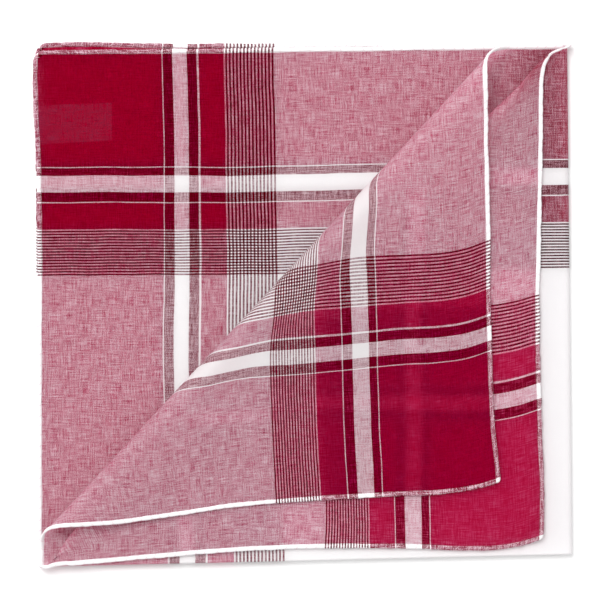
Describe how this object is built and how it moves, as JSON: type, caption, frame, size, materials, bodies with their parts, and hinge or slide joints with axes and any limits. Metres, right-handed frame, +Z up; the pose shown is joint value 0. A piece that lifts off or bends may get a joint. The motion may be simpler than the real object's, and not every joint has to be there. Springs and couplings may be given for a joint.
{
  "type": "handkerchief",
  "caption": "Thin cotton check handkerchief folded in four, with the corners of its two upper layers turned softly back over the stack.",
  "frame": {"origin": "centre of the folded stack's outline, on the surface that it rests on", "axes": "+X from the free hems towards the second folded edge, +Y from the first folded edge towards the free hems, +Z up out of the surface"},
  "size_m": [0.2148, 0.2108, 0.0177],
  "materials": {
    "cotton_cloth": "matt plain weave, slightly sheer"
  },
  "bodies": {
    "root": {"handkerchief": "cotton_cloth"}
  },
  "joints": []
}
